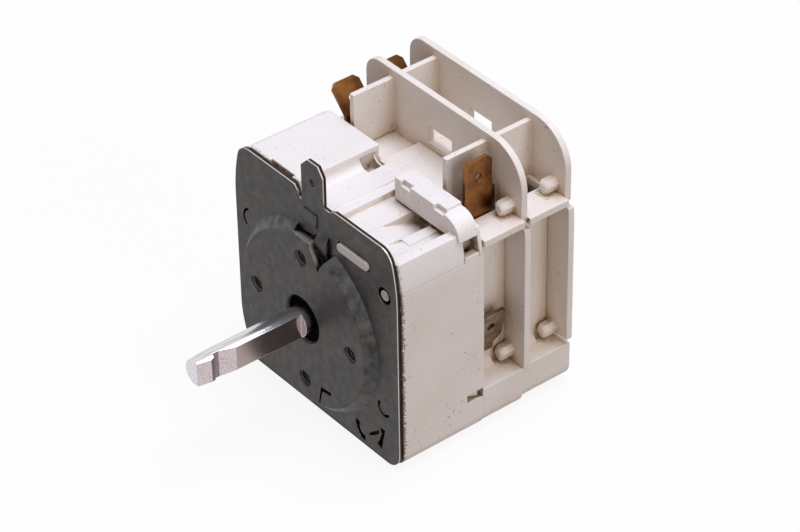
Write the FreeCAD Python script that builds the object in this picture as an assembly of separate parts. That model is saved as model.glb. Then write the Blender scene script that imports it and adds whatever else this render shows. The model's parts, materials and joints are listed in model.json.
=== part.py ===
import FreeCAD, Part
import math
import os

# Washing machine programme timer, in millimetres.
# The origin is on the shaft's axis in the mounting face, which is the front of the plate's raised disc.
# X runs to the printed side, Y runs back into the timer, Z runs up to the earth spade.

# Driving sizes of the mounting plate.
screw_pitch = 28.0
plate_left = -22.15
plate_right = 25.45
outline_right = 26.15
plate_bottom = -21.3
plate_top = 27.7
sheet = 0.9
disc_height = 2.0
disc_foot_r = 20.0
disc_wall_run = 1.9
spade_width = 6.3
spade_centre_x = 1.65
spade_top = 35.2

# Shoulders and corners of the shared outline of plate and cases.
shoulder_drop = 11.7
shoulder_run = 1.2
corner_drop = 2.5
foot_rise = 12.3
foot_r = 20.3
corner_r = 3.4

# Depths of the layers, front to back.
case_depth = 19.1
switch_pitch = 10.5
deck = 1.4

# Plastic parts.
wall = 1.5
case_inset = 0.25
split_height = 19.2
fit = 0.3
fin_top = 35.6
fin_left = -19.9
fin_right = 24.9
fin_left_r = 4.0
fin_right_r = 8.2
block_top = 28.0
shelf_level = 25.1
well_level = 23.5
floor_level = 22.9
switch_roof = 23.6
switch_shelf = 22.0
shelf_thick = 1.5
waist_x = 20.2
base_top = -12.0
rib_left_x = -12.2
rib_right_x = 14.6
rib_thick = 1.2
rib_top = 34.0

# Shaft and bearings.
shaft_d = 6.0
flat_from_axis = 1.5
shaft_reach = 24.8
bearing_gap = 0.05

# Gear train: module, tooth counts and faces.
module = 0.6
motor_teeth = 10
idler_teeth = 32
idler_pinion_teeth = 10
main_teeth = 36
backlash = 0.16
idler_bearing_angle = 40.0
motor_direction = 162.0

# Cams, levers and contacts.
cam_r = 9.0
cam_thick = 3.0
cam_dwell = 20.0
shaft_travel = 300.0
lever_swing = 5.5
lever_pivot_x = -13.0
lever_gap = 0.3
lever_thick = 2.4
blade_sheet = 0.8
leaf_sheet = 0.3
leaf_width = 4.0
contact_r = 1.5

# Stations along Y that follow from the sizes above.
plate_front = disc_height
plate_back = plate_front + sheet
case_back = plate_back + case_depth
front_deck = case_back + switch_pitch - deck + 0.5
front_deck_back = front_deck + deck
rear_deck = front_deck_back + switch_pitch - deck
rear_deck_back = rear_deck + deck

os.makedirs("parts", exist_ok=True)


def save(name, shape):
    shape.exportStep("parts/" + name + ".step")


def vec(x, y, z):
    return FreeCAD.Vector(x, y, z)


def box(x0, x1, y0, y1, z0, z1):
    return Part.makeBox(x1 - x0, y1 - y0, z1 - z0, vec(x0, y0, z0))


def rod(x, z, y0, y1, r):
    return Part.makeCylinder(r, y1 - y0, vec(x, y0, z), vec(0, 1, 0))


def prism(points, y0, y1):
    # A flat outline of (x, z) corners, drawn back along Y.
    corners = [vec(x, y0, z) for x, z in points]
    wire = Part.makePolygon(corners + corners[:1])
    return Part.Face(wire).extrude(vec(0, y1 - y0, 0))


def prism_x(points, x0, x1):
    # A flat outline of (y, z) corners, drawn across along X.
    corners = [vec(x0, y, z) for y, z in points]
    wire = Part.makePolygon(corners + corners[:1])
    return Part.Face(wire).extrude(vec(x1 - x0, 0, 0))


def arc_mid(centre, r, a0, a1):
    # Point at the middle of an arc in the X Z plane.
    a = math.radians((a0 + a1) / 2)
    return vec(centre[0] + r * math.cos(a), 0, centre[1] + r * math.sin(a))


def case_outline(inset, right_side):
    # Outline shared by the plate, the gear case and the switch bases.
    left = plate_left + inset
    right = right_side - inset
    top = plate_top - inset
    bottom = plate_bottom + inset
    side_z = plate_top - shoulder_drop
    bend_z = plate_top - corner_drop
    rise = bend_z - side_z
    big_r = (rise ** 2 + shoulder_run ** 2) / (2 * shoulder_run)
    tilt = math.degrees(math.asin(rise / big_r))
    tip_r = (top - bend_z) / (1 - math.sin(math.radians(tilt)))
    reach = tip_r * math.cos(math.radians(tilt))
    xr = right - shoulder_run
    xl = left + shoulder_run
    foot_z = plate_bottom + foot_rise
    foot_angle = math.degrees(math.asin((foot_z - bottom) / foot_r))
    foot_x = left + foot_r * (1 - math.cos(math.radians(foot_angle)))
    tip_z = top - tip_r

    p = [
        vec(foot_x, 0, bottom), vec(right - corner_r, 0, bottom), vec(right, 0, bottom + corner_r),
        vec(right, 0, side_z), vec(xr, 0, bend_z), vec(xr - reach, 0, top),
        vec(xl + reach, 0, top), vec(xl, 0, bend_z), vec(left, 0, side_z), vec(left, 0, foot_z),
    ]
    mids = {
        1: arc_mid((right - corner_r, bottom + corner_r), corner_r, -90, 0),
        3: arc_mid((right - big_r, side_z), big_r, 0, tilt),
        4: arc_mid((xr - reach, tip_z), tip_r, tilt, 90),
        6: arc_mid((xl + reach, tip_z), tip_r, 90, 180 - tilt),
        7: arc_mid((left + big_r, side_z), big_r, 180 - tilt, 180),
        9: arc_mid((left + foot_r, foot_z), foot_r, 180, 180 + foot_angle),
    }
    edges = []
    for i, start in enumerate(p):
        end = p[(i + 1) % len(p)]
        if i in mids:
            edges.append(Part.Arc(start, mids[i], end).toShape())
        else:
            edges.append(Part.makeLine(start, end))
    return Part.Wire(edges)


def case_prism(inset, y0, y1, right_side=outline_right):
    solid = Part.Face(case_outline(inset, right_side)).extrude(vec(0, y1 - y0, 0))
    solid.translate(vec(0, y0, 0))
    return solid


def rounded_bar(x0, x1, y0, y1, z0, z1):
    # A bar along X with half round ends in the X Z plane.
    r = (z1 - z0) / 2
    mid = (z0 + z1) / 2
    bar = box(x0 + r, x1 - r, y0, y1, z0, z1)
    return bar.fuse(rod(x0 + r, mid, y0, y1, r)).fuse(rod(x1 - r, mid, y0, y1, r))


def ring_slot(x, z, r, width, a0, a1, y0, y1):
    # A curved slot in the X Z plane, between two angles in degrees.
    band = rod(x, z, y0, y1, r + width / 2).cut(rod(x, z, y0, y1, r - width / 2))
    reach = 3 * r
    corners = [(x, z)]
    steps = 3
    for i in range(steps + 1):
        a = math.radians(a0 + (a1 - a0) * i / steps)
        corners.append((x + reach * math.cos(a), z + reach * math.sin(a)))
    return band.common(prism(corners, y0, y1))


# Mounting plate: sheet steel with a drawn disc, tapped holes and the earth spade in one piece.
bolt_r = screw_pitch / 2
tap_r = 1.75
collar_r = 2.6
collar_length = 1.3
centre_hole_r = 5.0
screw_places = [(bolt_r, 0), (0, bolt_r), (-bolt_r, 0), (0, -bolt_r)]
disc_top_r = disc_foot_r - disc_wall_run

plate = case_prism(0, plate_front, plate_back, plate_right)
disc = Part.makeCone(disc_top_r, disc_foot_r, disc_height, vec(0, 0, 0), vec(0, 1, 0))
disc_inside = Part.makeCone(disc_top_r - sheet, disc_foot_r - sheet, disc_height, vec(0, sheet, 0), vec(0,
    1, 0))
disc = disc.fuse(rod(0, 0, plate_front, plate_back, disc_foot_r)).cut(disc_inside)
plate = plate.cut(rod(0, 0, plate_front, plate_back, disc_foot_r - sheet / 2)).fuse(disc)

spade_left = spade_centre_x - spade_width / 2
spade_right = spade_centre_x + spade_width / 2
spade_tip = 1.9
spade_tip_right = 1.4
spade_outline = [
    (spade_left, plate_top - 2.6), (spade_left, spade_top - spade_tip),
    (spade_left + spade_tip, spade_top), (spade_right - spade_tip_right, spade_top),
    (spade_right, spade_top - spade_tip), (spade_right, plate_top - 2.6),
]
plate = plate.fuse(prism(spade_outline, plate_front, plate_back))
relief_left = [
    (spade_left - 3.4, plate_top + 1), (spade_left - 1.3, plate_top - 1.0), (spade_left - 0.9,
        plate_top - 2.0),
    (spade_left, plate_top - 2.5), (spade_left, plate_top + 1),
]
relief_right = [
    (spade_right, plate_top + 1), (spade_right, plate_top - 0.75), (spade_right + 1.6, plate_top - 0.8),
    (spade_right + 3.4, plate_top + 0.1), (spade_right + 3.4, plate_top + 1),
]
for relief in (relief_left, relief_right):
    plate = plate.cut(prism(relief, plate_front - 0.1, plate_back + 0.1))
plate = plate.cut(rod(spade_centre_x, 30.8, plate_front - 0.1, plate_back + 0.1, 0.75))

for x, z in screw_places:
    plate = plate.fuse(rod(x, z, sheet, sheet + collar_length, collar_r))
for x, z in screw_places:
    plate = plate.cut(rod(x, z, -0.1, sheet + collar_length + 0.1, tap_r))
plate = plate.cut(rod(0, 0, -0.1, plate_back, centre_hole_r))

# Window lanced in the disc's upper wall, with a notch below it and a tongue that hooks forward over it.
window_left = -2.8
window_right = 8.0
window_top = 21.2
disc_brow = 18.4
notch_tip = 13.7
tongue_width = 2.8
tongue_x = 4.8
tongue_gap = 0.2
tongue_tip = 15.2
tongue_left = tongue_x - tongue_width / 2 - tongue_gap
tongue_right = tongue_x + tongue_width / 2 + tongue_gap
window = prism([
    (window_left, disc_brow), (2.4, disc_brow), (3.2, disc_brow - 1.0), (4.4, notch_tip + 1.6), (5.0,
        notch_tip),
    (6.0, notch_tip + 1.8), (7.2, disc_brow - 1.3), (window_right, disc_brow), (window_right, window_top),
    (window_left, window_top),
], -0.1, plate_back + 0.1)
left_flap = prism([
    (window_left - 0.1, disc_brow), (1.4, disc_brow + 0.8), (tongue_left, disc_brow + 1.7), (tongue_left,
        window_top + 0.1),
    (window_left - 0.1, window_top + 0.1),
], plate_front, plate_back)
right_flap = prism([
    (tongue_right, disc_brow - 0.8), (window_right + 0.1, disc_brow - 0.2), (window_right + 0.1,
        window_top + 0.1),
    (tongue_right, window_top + 0.1),
], plate_front, plate_back)
plate = plate.cut(window).fuse([left_flap, right_flap])
tongue_front = [(plate_front, window_top + 0.1), (1.7, 20.7), (0.9, 20.0), (0.8, 19.2), (1.1, 18.2), (1.6,
    16.6), (2.1, tongue_tip)]
tongue_back = [(y + sheet, z - 0.1) for y, z in reversed(tongue_front)]
tongue_back[-1] = (plate_back, window_top + 0.1)
tongue = prism_x(tongue_front + tongue_back, tongue_x - tongue_width / 2, tongue_x + tongue_width / 2)
tongue_face = box(tongue_x - 3, tongue_x + 3, -1, 4, tongue_tip + tongue_width / 2, 30)
tongue_face = tongue_face.fuse(rod(tongue_x, tongue_tip + tongue_width / 2, -1, 4, tongue_width / 2))
plate = plate.fuse(tongue.common(tongue_face))

# Slot for the top cover's lug, pin hole, locating lances and the small raised pad.
lug_left = 9.0
lug_right = 17.9
lug_low = 20.25
lug_high = 22.1
lug_gap = 0.25
pin_x = 22.0
pin_z = 17.3
pin_r = 1.1
plate = plate.cut(rounded_bar(lug_left - lug_gap, lug_right + lug_gap, 0, 4, lug_low - lug_gap,
    lug_high + lug_gap))
plate = plate.cut(rod(pin_x, pin_z, 1, 4, pin_r + 0.65))
lances = [
    ring_slot(-17.6, 11.9, 2.2, 0.5, 110, 230, 1, 4),
    ring_slot(21.3, -8.9, 1.6, 0.55, 140, 325, 1, 4),
    ring_slot(15.3, -17.6, 2.1, 1.2, 150, 275, 1, 4),
    prism([(19.9, -14.6), (20.5, -14.1), (21.4, -14.2), (20.3, -19.3), (19.0, -18.7), (19.8, -17.2), (20.4,
        -15.6)], 1, 4),
    prism([(16.7, -18.1), (16.8, -17.6), (18.4, -16.1), (19.5, -15.2), (19.7, -15.9), (18.2, -17.2)], 1, 4),
    prism([(4.9, -13.0), (7.9, -12.6), (7.9, -13.4), (5.3, -13.8), (4.5, -17.1), (4.2, -17.0)], -0.1,
        sheet + 0.1),
]
for lance in lances:
    plate = plate.cut(lance)
pad_emboss = 0.25
plate = plate.fuse(box(-0.9, 2.9, plate_front - pad_emboss, plate_front + 0.1, 21.4, 24.2))
save("mounting_plate", plate.removeSplitter())


# Control shaft: round in its bearings, with a flat and a necked tip for the knob.
shaft_r = shaft_d / 2
flat_end = -1.4
shaft_end = rear_deck_back - 0.5
tip_chamfer = 0.25
taper_length = 4.0
taper = 0.25
tip_from_axis = 0.9
neck_from_axis = 0.6
head = 3.0
shoulder = 0.8
neck_length = 1.4
ramp_length = 3.3
shaft = rod(0, 0, -shaft_reach, shaft_end, shaft_r)
crest_y = head - shaft_reach
neck_y = crest_y + shoulder
ramp_y = neck_y + neck_length
flat_y = ramp_y + ramp_length
flat_profile = [
    (shaft_r + 1, -shaft_reach - 1), (tip_from_axis, -shaft_reach - 1), (tip_from_axis, -shaft_reach),
    (flat_from_axis, crest_y), (flat_from_axis - 0.2, neck_y), (neck_from_axis, neck_y), (neck_from_axis,
        ramp_y),
    (flat_from_axis, flat_y), (flat_from_axis, flat_end), (shaft_r + 1, flat_end),
]
flat_corners = [vec(x, y, -shaft_r - 1) for x, y in flat_profile]
flat_cut = Part.Face(Part.makePolygon(flat_corners + flat_corners[:1])).extrude(vec(0, 0, shaft_d + 2))
shaft = shaft.cut(flat_cut)
tip_r = shaft_r - taper
nose = Part.makeCone(tip_r - tip_chamfer, tip_r, tip_chamfer, vec(0, -shaft_reach, 0), vec(0, 1, 0))
nose = nose.fuse(Part.makeCone(tip_r, shaft_r, taper_length, vec(0, tip_chamfer - shaft_reach, 0), vec(0, 1,
    0)))
nose = nose.fuse(rod(0, 0, tip_chamfer + taper_length - shaft_reach, shaft_end + 1, shaft_r + 1))
shaft = shaft.common(nose)
save("control_shaft", shaft)
bearing_r = shaft_r + bearing_gap


# Gear case: open to the front and the top, with the gear chamber's back wall.
case_front = plate_back
cavity_back = case_back - wall
case = case_prism(case_inset, case_front, case_back)
below_split = box(-40, 40, case_front, case_back, -40, split_height)
case = case.common(below_split)
case_room = case_prism(case_inset + wall, case_front - 1, cavity_back)
case = case.cut(case_room)
bearing_boss_r = 5.0
case = case.fuse(rod(0, 0, cavity_back - 2.0, case_back, bearing_boss_r)).cut(rod(0, 0, 0, case_back + 1,
    bearing_r))

# Snap windows on both sides of the gear case, and the hooks of the switch body that catch in them.
catch_front = 18.0
catch_back = 21.6
catch_low = -15.0
catch_high = -10.2
upper_catch_front = 17.6
upper_catch_back = 20.9
upper_catch_low = split_height - 0.6
upper_catch_high = 23.9
for x0, x1 in ((outline_right - 3, outline_right + 1), (plate_left - 1, plate_left + 3)):
    case = case.cut(box(x0, x1, catch_front, catch_back, catch_low, catch_high))
    case = case.cut(box(x0, x1, upper_catch_front, upper_catch_back, upper_catch_low, split_height + 1))

# Idler and motor positions, worked out from the tooth counts.
pitch = {n: n * module / 2 for n in (motor_teeth, idler_teeth, idler_pinion_teeth, main_teeth)}
idler_distance = pitch[idler_pinion_teeth] + pitch[main_teeth]
motor_distance = pitch[motor_teeth] + pitch[idler_teeth]
idler_x = idler_distance * math.cos(math.radians(idler_bearing_angle))
idler_z = idler_distance * math.sin(math.radians(idler_bearing_angle))
motor_x = idler_x + motor_distance * math.cos(math.radians(motor_direction))
motor_z = idler_z + motor_distance * math.sin(math.radians(motor_direction))
axle_r = 1.0
idler_layer = 5.4
main_layer = 7.4
gear_face = 1.6
post_r = 2.4
post_front = main_layer + gear_face + 0.4
pin_boss = rod(pin_x - 0.4, pin_z - 0.6, idler_layer + gear_face + 0.5, cavity_back + 0.1,
    2.2).common(below_split)
case = case.fuse(pin_boss).cut(rod(pin_x, pin_z, 0, plate_back + 10, pin_r))
case = case.fuse(rod(idler_x, idler_z, post_front, case_back, post_r))
case = case.cut(rod(idler_x, idler_z, 0, cavity_back, axle_r))
lead_slots = [
    box(-14.9, -12.9, cavity_back - 1, case_back + wall + 0.1, 12.2, 13.0),
    box(16.3, 17.1, cavity_back - 1, case_back + wall + 0.1, 11.4, 12.8),
]
for slot in lead_slots:
    case = case.cut(slot)
save("idler_axle", rod(idler_x, idler_z, plate_back + 0.1, cavity_back - 0.2, axle_r - 0.01))
save("case_pin", rod(pin_x, pin_z, plate_front + 0.1, plate_back + 9.5, pin_r))


# Top cover: the raised left block, the stepped wells on the right and the strap over them.
cover_back = case_back - 0.2
block_right = -3.3
rail_left = 4.1
rail_right = 6.2
well_right = 12.0
ramp_right = 17.3
rim_left = 22.6
strap_front = 16.4
strap_back = 20.8
strap_left = 7.3
strap_top = 28.7
well_front = 9.6
above_split = box(-40, 40, case_front, case_back, split_height, 60)
cover_rim = case_prism(case_inset, case_front, cover_back).common(above_split)
lower_part = cover_rim.common(box(-40, 40, 0, 60, 0, shelf_level))
block = case_prism(case_inset, case_front, cover_back - 0.4).common(box(-40, block_right, 0, 60,
    split_height, plate_top))
block_cap = prism([
    (plate_left + case_inset + 2.0, plate_top - 3.0), (plate_left + case_inset + 4.0, block_top),
    (block_right, block_top), (block_right, plate_top - 3.0)], case_front, cover_back - 0.4)
cove_r = 1.8
cove = box(block_right - 0.5, block_right + cove_r, case_front, cover_back - 0.4, shelf_level - 0.1,
    shelf_level + cove_r)
cove = cove.cut(rod(block_right + cove_r, shelf_level + cove_r, 0, 60, cove_r))
cover = lower_part.fuse([block, block_cap, cove])

# The wells: rail step, middle well, ramp under the strap, right hand floor with its pad.
cover = cover.cut(box(rail_left, rail_right, case_front - 1, 60, shelf_level - 0.2, 40))
cover = cover.cut(box(rail_right, well_right, case_front - 1, strap_back + 0.4, well_level, 40))
cover = cover.cut(box(rail_right, ramp_right, case_front - 1, well_front, well_level + 0.25, 40))
cover = cover.cut(box(well_right, ramp_right, well_front, 60, floor_level + 0.2, 40))
floor_cut = [(case_front - 1, well_level + 1.1), (well_front - 0.4, floor_level), (strap_back + 0.4,
    floor_level), (strap_back + 0.4, 40), (case_front - 1, 40)]
cover = cover.cut(prism_x(floor_cut, ramp_right, rim_left))
ramp_cut = [(well_front, floor_level + 0.2), (strap_front + 1.5, floor_level - 2.2), (60,
    floor_level - 2.2), (60, 40), (well_front, 40)]
cover = cover.cut(prism_x(ramp_cut, well_right, ramp_right - 0.4))
pad = box(ramp_right - 0.4, ramp_right + 2.0, well_front + 0.4, strap_front + 0.2, floor_level - 1.0,
    floor_level + 0.25)
cover = cover.fuse(pad)

# Strap: a band over the wells that turns down the right side, with two moulding notches.
strap = case_prism(-0.35, strap_front, strap_back).common(box(strap_left, 40, 0, 60, split_height + 4.7, 40))
strap_cap = box(strap_left, 21.0, strap_front, strap_back, plate_top - 1, strap_top)
strap = strap.fuse(strap_cap)
arch = box(well_right - 0.3, ramp_right - 0.4, 0, 60, 18, floor_level + 1.0)
for notch_x in (9.0, 18.4):
    strap = strap.cut(box(notch_x, notch_x + 2.7, strap_front - 0.1, strap_front + 0.9, strap_top - 1.1,
        strap_top + 1))
cover = cover.fuse(strap.cut(arch))
strap_leg = case_prism(case_inset, strap_front, upper_catch_front).common(box(rim_left, 40, 0, 60,
    split_height, split_height + 6))
cover = cover.fuse(strap_leg)

# Hollow underside, pocket beside the block, front notch and the lug through the plate.
block_room = box(plate_left + case_inset + wall + 3.2, block_right - wall, case_front + wall, cavity_back,
    0, block_top - wall)
side_room = box(plate_left + case_inset + wall, block_right - wall, case_front + wall, cavity_back, 0,
    plate_top - 5.5)
well_room = box(block_right - wall - 0.1, rim_left + 1.0, case_front + wall, cavity_back, 0,
    floor_level - 2.2 - 1.2)
shelf_room = box(block_right - wall - 0.1, 1.5, case_front + wall, cavity_back, 0, shelf_level - 2.5)
for room in (block_room, side_room, well_room, shelf_room):
    cover = cover.cut(room)
pocket_front = 16.9
pocket_back = 19.9
pocket_rim = 0.4
below_cap = box(-40, 40, 0, 60, 0, block_top - 1.2)
pocket = box(block_right - 0.1, block_right + 2.4, pocket_front, pocket_back, shelf_level - 1.6, 40)
rear_step = box(block_right - 0.1, block_right + 2.4, pocket_back + pocket_rim, cover_back + 1,
    shelf_level - 2.0, 40)
for hollow in (pocket, rear_step):
    cover = cover.cut(hollow.common(below_cap))
cover = cover.cut(box(-12.3, -5.5, 0, case_front + 0.7, plate_top - 1.3, 40))
cover = cover.cut(box(outline_right - 3.2, outline_right + 2, upper_catch_front, upper_catch_back,
    split_height - 1, upper_catch_high))
cover = cover.cut(box(plate_left - 2, plate_left + 3.2, upper_catch_front, upper_catch_back,
    split_height - 1, upper_catch_high))
cover = cover.fuse(rounded_bar(lug_left, lug_right, plate_front - 0.5, case_front + 0.5, lug_low, lug_high))
save("top_cover", cover.removeSplitter())


# Gear train.
def half_tooth(radius, pitch_r, teeth):
    # Half the angle that an involute tooth covers at a radius.
    pressure = math.radians(20)
    base_r = pitch_r * math.cos(pressure)
    at = math.acos(min(1, base_r / max(radius, base_r)))
    involute = math.tan(pressure) - pressure - math.tan(at) + at
    return math.pi / (2 * teeth) - backlash / (2 * pitch_r) + involute


def gear(x, z, y0, y1, teeth, tip_height, first_tooth):
    pitch_r = teeth * module / 2
    root_r = pitch_r - 1.2 * module
    base_r = pitch_r * math.cos(math.radians(20))
    radii = [root_r, max(base_r, root_r + 0.1), pitch_r, pitch_r + tip_height * module]
    outline = []
    for i in range(teeth):
        middle = math.radians(first_tooth) + 2 * math.pi * i / teeth
        for radius in radii:
            a = middle - half_tooth(radius, pitch_r, teeth)
            outline.append((x + radius * math.cos(a), z + radius * math.sin(a)))
        for radius in reversed(radii):
            a = middle + half_tooth(radius, pitch_r, teeth)
            outline.append((x + radius * math.cos(a), z + radius * math.sin(a)))
    return prism(outline, y0, y1)


pinion_tip = 0.95
wheel_tip = 0.75
main_gear = gear(0, 0, main_layer, main_layer + gear_face, main_teeth, wheel_tip, idler_bearing_angle)
main_hub_r = 5.0
main_gear = main_gear.cut(rod(0, 0, main_layer + 1.1, 20, pitch[main_teeth] - 2.4))
main_gear = main_gear.fuse(rod(0, 0, main_layer, main_layer + gear_face + 0.3, main_hub_r))
save("main_gear", main_gear.cut(rod(0, 0, 0, 20, bearing_r)))

idler_wheel = gear(idler_x, idler_z, idler_layer, idler_layer + gear_face, idler_teeth, wheel_tip,
    motor_direction)
pinion_gap = idler_bearing_angle + 180 + 180 / idler_pinion_teeth
idler_end = main_layer + gear_face + 0.3
idler_pinion = gear(idler_x, idler_z, idler_layer + gear_face, idler_end, idler_pinion_teeth, pinion_tip,
    pinion_gap)
idler = idler_wheel.fuse(idler_pinion).cut(rod(idler_x, idler_z, 0, 20, axle_r + bearing_gap))
save("idler_gear", idler)

motor_gap = motor_direction + 180 + 180 / motor_teeth
motor_front = main_layer + gear_face + 0.6
motor_pinion = gear(motor_x, motor_z, idler_layer, idler_layer + gear_face, motor_teeth, pinion_tip,
    motor_gap)
motor_shaft_r = 0.8
motor_pinion = motor_pinion.fuse(rod(motor_x, motor_z, idler_layer - 0.6, motor_front + 2.0, motor_shaft_r))
save("motor_pinion", motor_pinion)

# Synchronous gear motor: a closed can with its own reduction inside, so one solid.
can_r = 9.5
can_x = -9.0
can_z = 13.6
motor_can = rod(can_x, can_z, motor_front, cavity_back, can_r)
motor_can = motor_can.fuse(rod(motor_x, motor_z, motor_front - 0.3, motor_front + 1, 1.9))
for side in (-1, 1):
    ear = rod(can_x, can_z + side * 8.6, cavity_back - 1.0, cavity_back, 2.6)
    motor_can = motor_can.fuse(ear)
motor_can = motor_can.cut(rod(motor_x, motor_z, 0, motor_front + 2.2, motor_shaft_r + bearing_gap))
save("motor_can", motor_can)

# Slip clutch on the shaft: a thrust collar presses a sprung washer against the main gear.
washer_front = main_layer + gear_face + 0.3
washer = rod(0, 0, washer_front, washer_front + 0.8, main_hub_r - 0.2).cut(rod(0, 0, 0, 20, shaft_r + 0.1))
for i in range(3):
    a = math.radians(120 * i)
    dip = Part.makeCylinder(0.45, 12, vec(0, washer_front + 0.8, 0), vec(math.cos(a), 0, math.sin(a)))
    washer = washer.cut(dip)
save("clutch_washer", washer)
collar = rod(0, 0, washer_front + 0.8, washer_front + 2.2, main_hub_r).cut(rod(0, 0, 0, 20, shaft_r))
save("clutch_collar", collar)

# Front bush: a black cup behind the plate's centre hole, which carries the shaft.
bush_r = 6.4
bush_front = sheet + 0.05
bush_back = idler_layer - 0.4
bush = rod(0, 0, bush_front, bush_back, bush_r).cut(rod(0, 0, 0, bush_back - 1.8, centre_hole_r - 0.1))
save("front_bush", bush.cut(rod(0, 0, 0, 20, bearing_r)))


# Cams on the shaft: a spiral lets the lever down evenly over the shaft's travel, then a step leads back up.
def polar(r, angle):
    a = math.radians(angle)
    return vec(r * math.cos(a), 0, r * math.sin(a))


def cam_radius(turn):
    # Radius that stands under the lever's nose once the shaft has turned this far.
    return cam_r + lever_pivot_x * math.sin(math.radians(lever_swing * turn / shaft_travel))


def cam(y_mid):
    low_r = cam_radius(shaft_travel)
    spiral_end = 90 - shaft_travel
    low_end = spiral_end - cam_dwell
    high_start = 90 + cam_dwell - 360
    spans = 10
    turns = [shaft_travel * i / spans for i in range(spans + 1)]
    spiral = Part.BSplineCurve()
    spiral.interpolate([polar(cam_radius(turn), 90 - turn) for turn in turns])
    edges = [
        spiral.toShape(),
        Part.Arc(polar(low_r, spiral_end), polar(low_r, spiral_end - cam_dwell / 2), polar(low_r,
            low_end)).toShape(),
        Part.makeLine(polar(low_r, low_end), polar(cam_r, high_start)),
        Part.Arc(polar(cam_r, high_start), polar(cam_r, 90 + cam_dwell / 2), polar(cam_r, 90)).toShape(),
    ]
    y0 = y_mid - cam_thick / 2
    disc = Part.Face(Part.Wire(edges)).extrude(vec(0, cam_thick, 0))
    disc.translate(vec(0, y0, 0))
    disc = disc.fuse(rod(0, 0, y0 - 0.9, y0 + cam_thick + 0.9, shaft_r + 1.8))
    return disc.cut(rod(0, 0, 0, 60, shaft_r))


front_mid = 27.0
rear_mid = front_mid + switch_pitch
save("front_cam", cam(front_mid))
save("rear_cam", cam(rear_mid))

# Cam levers on their pins. The nose stands just clear of the cam and sinks as the cam's radius falls.
lever_pivot_z = cam_r + lever_gap + 1.3
lever_low = cam_r + lever_gap + 0.9
lever_top = lever_low + 1.8
pusher_x = -2.0
pusher_top = lever_top + 0.9


def lever(y_mid):
    y0 = y_mid - lever_thick / 2
    y1 = y_mid + lever_thick / 2
    nose_z = cam_r + lever_gap
    arm = box(lever_pivot_x, 2.4, y0, y1, lever_low, lever_top)
    nose = prism([(-1.7, lever_low + 0.1), (-0.6, nose_z), (0.6, nose_z), (1.7, lever_low + 0.1)], y0, y1)
    pusher = prism([(pusher_x - 1, lever_top - 0.1), (pusher_x - 0.3, pusher_top), (pusher_x + 0.3,
        pusher_top), (pusher_x + 1, lever_top - 0.1)], y0, y1)
    boss = rod(lever_pivot_x, lever_pivot_z, y0 - 0.6, y1 + 0.6, 1.6)
    return arm.fuse([nose, pusher, boss]).cut(rod(lever_pivot_x, lever_pivot_z, 0, 60, axle_r + bearing_gap))


save("front_lever", lever(front_mid))
save("rear_lever", lever(rear_mid))
front_wall_back = case_back + wall
save("front_lever_pin", rod(lever_pivot_x, lever_pivot_z, front_wall_back - 0.9, front_deck + 0.7,
    axle_r - 0.01))
save("rear_lever_pin", rod(lever_pivot_x, lever_pivot_z, front_deck_back - 0.6, rear_deck + 0.7,
    axle_r - 0.01))


# Contact leaves, their rivets and the spade terminals.
leaf_low = pusher_top + lever_gap
leaf_top = leaf_low + leaf_sheet
leaf_root_x = -15.0
leaf_pivot_x = -13.4
contact_x = 11.0
contact_high = leaf_top + 0.5
upper_arm_low = contact_high + 0.05 + 0.6
blade_half = spade_width / 2
blade_mid_front = 26.15
blade_mid_rear = blade_mid_front + switch_pitch
lower_arm_top = leaf_low - 3.4
left_blade_x = -15.4
right_blade_x = 18.9
blade_top = 34.5
tab_chamfer = 1.0
foot_low = base_top + 0.1


def leaf(y_mid):
    strip = box(leaf_root_x, contact_x + 2.0, y_mid - leaf_width / 2, y_mid + leaf_width / 2, leaf_low,
        leaf_top)
    return strip.cut(Part.makeCylinder(0.7, 2, vec(contact_x, y_mid, leaf_low - 1), vec(0, 0, 1)))


def leaf_contact(y_mid):
    head = Part.makeCylinder(contact_r, 0.5, vec(contact_x, y_mid, leaf_top), vec(0, 0, 1))
    tail = Part.makeCylinder(contact_r, 0.5, vec(contact_x, y_mid, leaf_low - 0.5), vec(0, 0, 1))
    return head.fuse(tail).fuse(Part.makeCylinder(0.7, leaf_sheet, vec(contact_x, y_mid, leaf_low), vec(0,
        0, 1)))


def fixed_contact(y_mid, z0, z1):
    return Part.makeCylinder(contact_r, z1 - z0, vec(contact_x, y_mid, z0), vec(0, 0, 1))


def spade(x_mid, y_mid, z0, z1):
    # A flat blade in the Y Z plane with a chamfered tip and a small hole.
    y0 = y_mid - blade_half
    y1 = y_mid + blade_half
    c = tab_chamfer
    blade = prism_x([(y0, z0), (y0, z1 - c), (y0 + c, z1), (y1 - c, z1), (y1, z1 - c), (y1, z0)],
        x_mid - blade_sheet / 2, x_mid + blade_sheet / 2)
    hole = Part.makeCylinder(0.85, 4, vec(x_mid - 2, y_mid, z1 - 4.0), vec(1, 0, 0))
    return blade.cut(hole)


def left_terminal(y_mid, blade_mid):
    # The blade stands up beside the rib and leans outward above the bend.
    half = blade_sheet / 2
    bend_z = 27.0
    length = 6.6
    tab = spade(0, blade_mid, 0, length)
    tab.rotate(vec(0, 0, 0), vec(0, 1, 0), -44)
    tab.translate(vec(left_blade_x, 0, bend_z))
    stem = box(left_blade_x - half, left_blade_x + half, blade_mid - blade_half, blade_mid + blade_half,
        switch_shelf + 0.6, bend_z)
    knee = rod(left_blade_x, bend_z, blade_mid - blade_half, blade_mid + blade_half, half)
    neck = box(left_blade_x - half, left_blade_x + half, y_mid - 2.0, y_mid + 2.0, leaf_low - blade_sheet,
        switch_shelf + 0.7)
    foot = box(left_blade_x - half, leaf_pivot_x, y_mid - 2.0, y_mid + 2.0, leaf_low - blade_sheet, leaf_low)
    return tab.fuse([stem, knee, neck, foot])


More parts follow.
